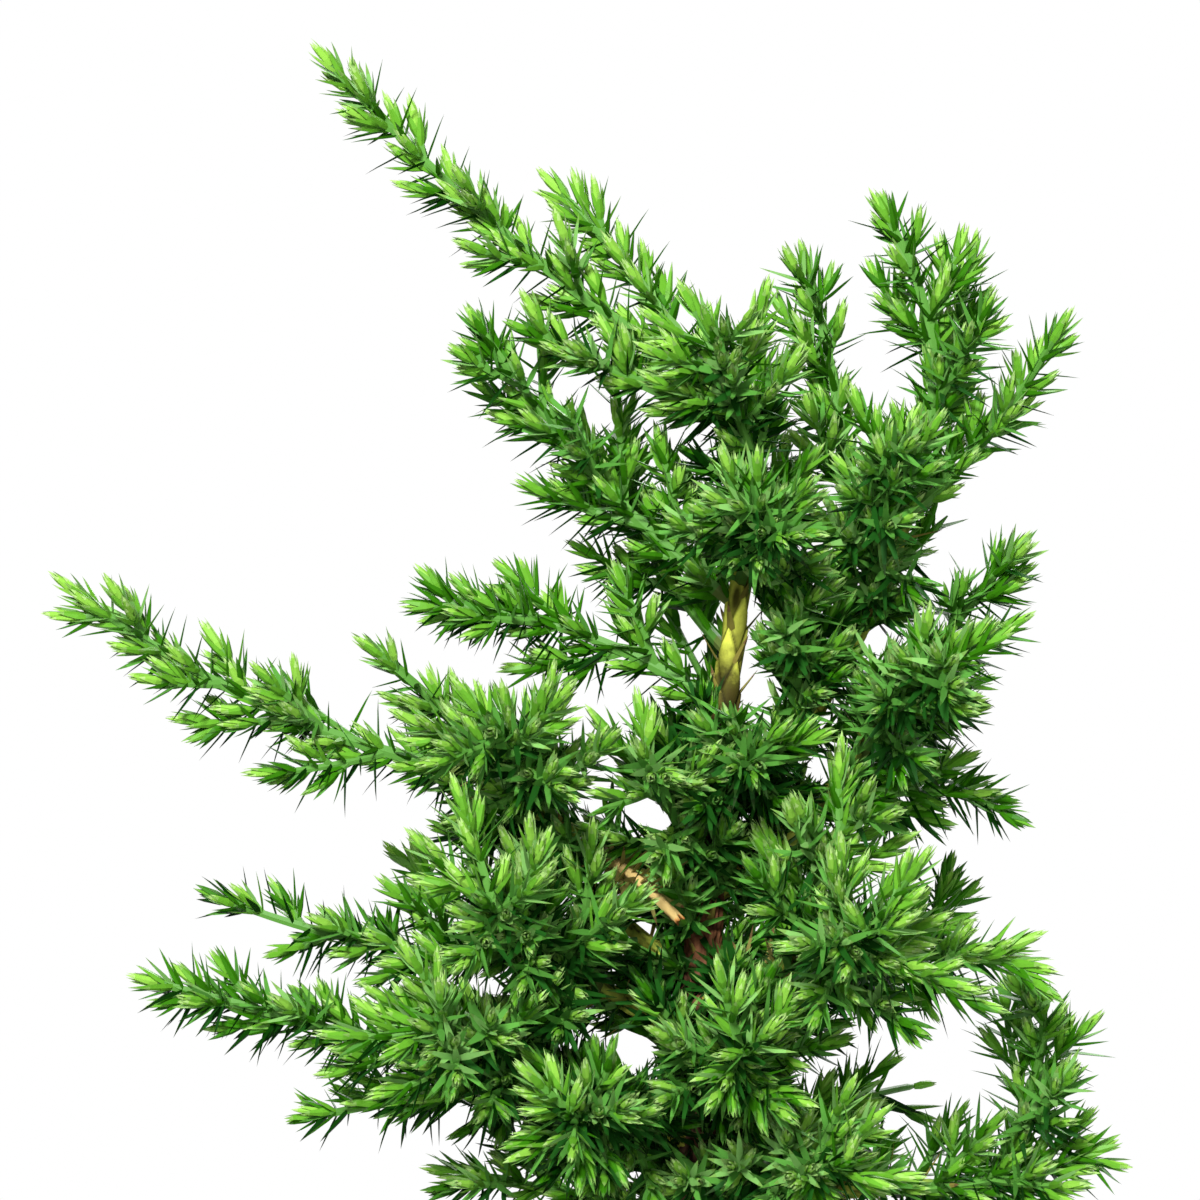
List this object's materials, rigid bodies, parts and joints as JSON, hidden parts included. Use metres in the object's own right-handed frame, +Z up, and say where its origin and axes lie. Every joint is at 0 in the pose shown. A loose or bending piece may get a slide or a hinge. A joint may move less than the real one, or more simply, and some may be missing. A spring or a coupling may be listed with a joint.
{
  "type": "juniper bonsai in a pot",
  "caption": "Young needle-leaved juniper with a slightly leaning trunk and open layered sprays of green needles, in a plain rectangular clay pot with feet.",
  "frame": {"origin": "on the ground under the middle of the pot and of the crown's box", "axes": "+Z up, +Y towards the back of the plant as the picture sees it, +X to the picture's right"},
  "size_m": [0.1986, 0.1462, 0.3075],
  "materials": {
    "clay": "unglazed brown stoneware, matt",
    "soil": "loose dark grit",
    "bark": "thin flaking bark, reddish brown below and straw green above",
    "bough_bark": "young straw-coloured bark",
    "needles": "waxy needles, deep green with bright yellow-green tips"
  },
  "bodies": {
    "root": {"pot": "clay", "soil": "soil", "trunk": "bark", "leader_bough": "bough_bark", "riser_bough": "bough_bark", "right_top_bough": "bough_bark", "right_shoulder_bough": "bough_bark", "left_long_bough": "bough_bark", "left_low_bough": "bough_bark", "left_bottom_bough": "bough_bark", "front_right_bough": "bough_bark", "right_bottom_bough": "bough_bark", "back_right_bough": "bough_bark", "back_left_bough": "bough_bark", "leader": "needles", "leader_side": "needles", "upper_left": "needles", "upper_front": "needles", "top_middle": "needles", "back_upper_right": "needles", "inner_right": "needles", "right_top": "needles", "right_top_outer": "needles", "right_upper_front": "needles", "right_shoulder": "needles", "right_shoulder_front": "needles", "right_arm": "needles", "left_long": "needles", "left_long_upper": "needles", "left_front_upper": "needles", "left_low": "needles", "left_dome": "needles", "left_bottom": "needles", "left_bottom_low": "needles", "front_left_low": "needles", "front_low": "needles", "front_right_outer": "needles", "front_right": "needles", "front_right_upper": "needles", "right_bottom": "needles", "right_bottom_outer": "needles", "back_right": "needles", "back_left": "needles", "fork_front": "needles", "left_shoulder": "needles", "back_upper": "needles", "back_upper_left": "needles", "left_mid": "needles", "back_middle": "needles", "upper_centre_front": "needles", "front_centre": "needles", "back_centre": "needles", "back_right_low": "needles", "back_left_low": "needles", "front_rosette": "needles", "back_low": "needles", "back_low_right": "needles", "bottom_front": "needles", "back_low_left": "needles", "bottom_left": "needles"}
  },
  "joints": []
}
